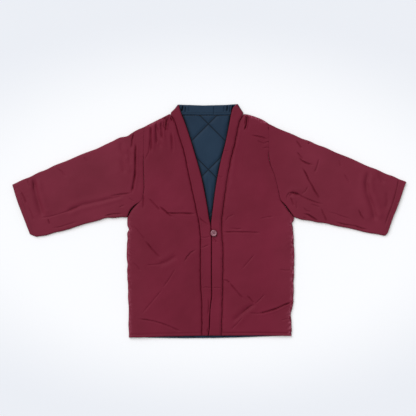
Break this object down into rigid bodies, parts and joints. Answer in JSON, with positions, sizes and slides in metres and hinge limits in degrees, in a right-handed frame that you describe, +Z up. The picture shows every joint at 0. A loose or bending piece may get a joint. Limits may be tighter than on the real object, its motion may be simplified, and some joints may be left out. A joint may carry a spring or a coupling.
{
  "type": "hanten jacket",
  "caption": "Padded hanten jacket laid flat on its back, with straight sleeves, a full-length collar band, a button and a diamond-quilted lining.",
  "frame": {"origin": "on the surface it lies on, below the centre of its outline", "axes": "+X towards the wearer's left cuff, +Y towards the neck, +Z up from the surface, the front of the garment facing up"},
  "size_m": [1.379, 0.814, 0.0199],
  "materials": {
    "shell": "wine-red plain-woven polyester over light wadding, soft sheen",
    "lining": "navy plain-woven polyester, stitched in large diamonds",
    "button": "polished wine-red polyester resin with a raised rim"
  },
  "bodies": {
    "root": {"back_body": "shell", "back_lining": "lining", "front_right": "shell", "front_left": "shell", "sleeve_right": "shell", "sleeve_left": "shell", "band_right": "shell", "band_left": "shell", "band_neck": "lining", "button": "button", "button_loop": "shell"}
  },
  "joints": []
}
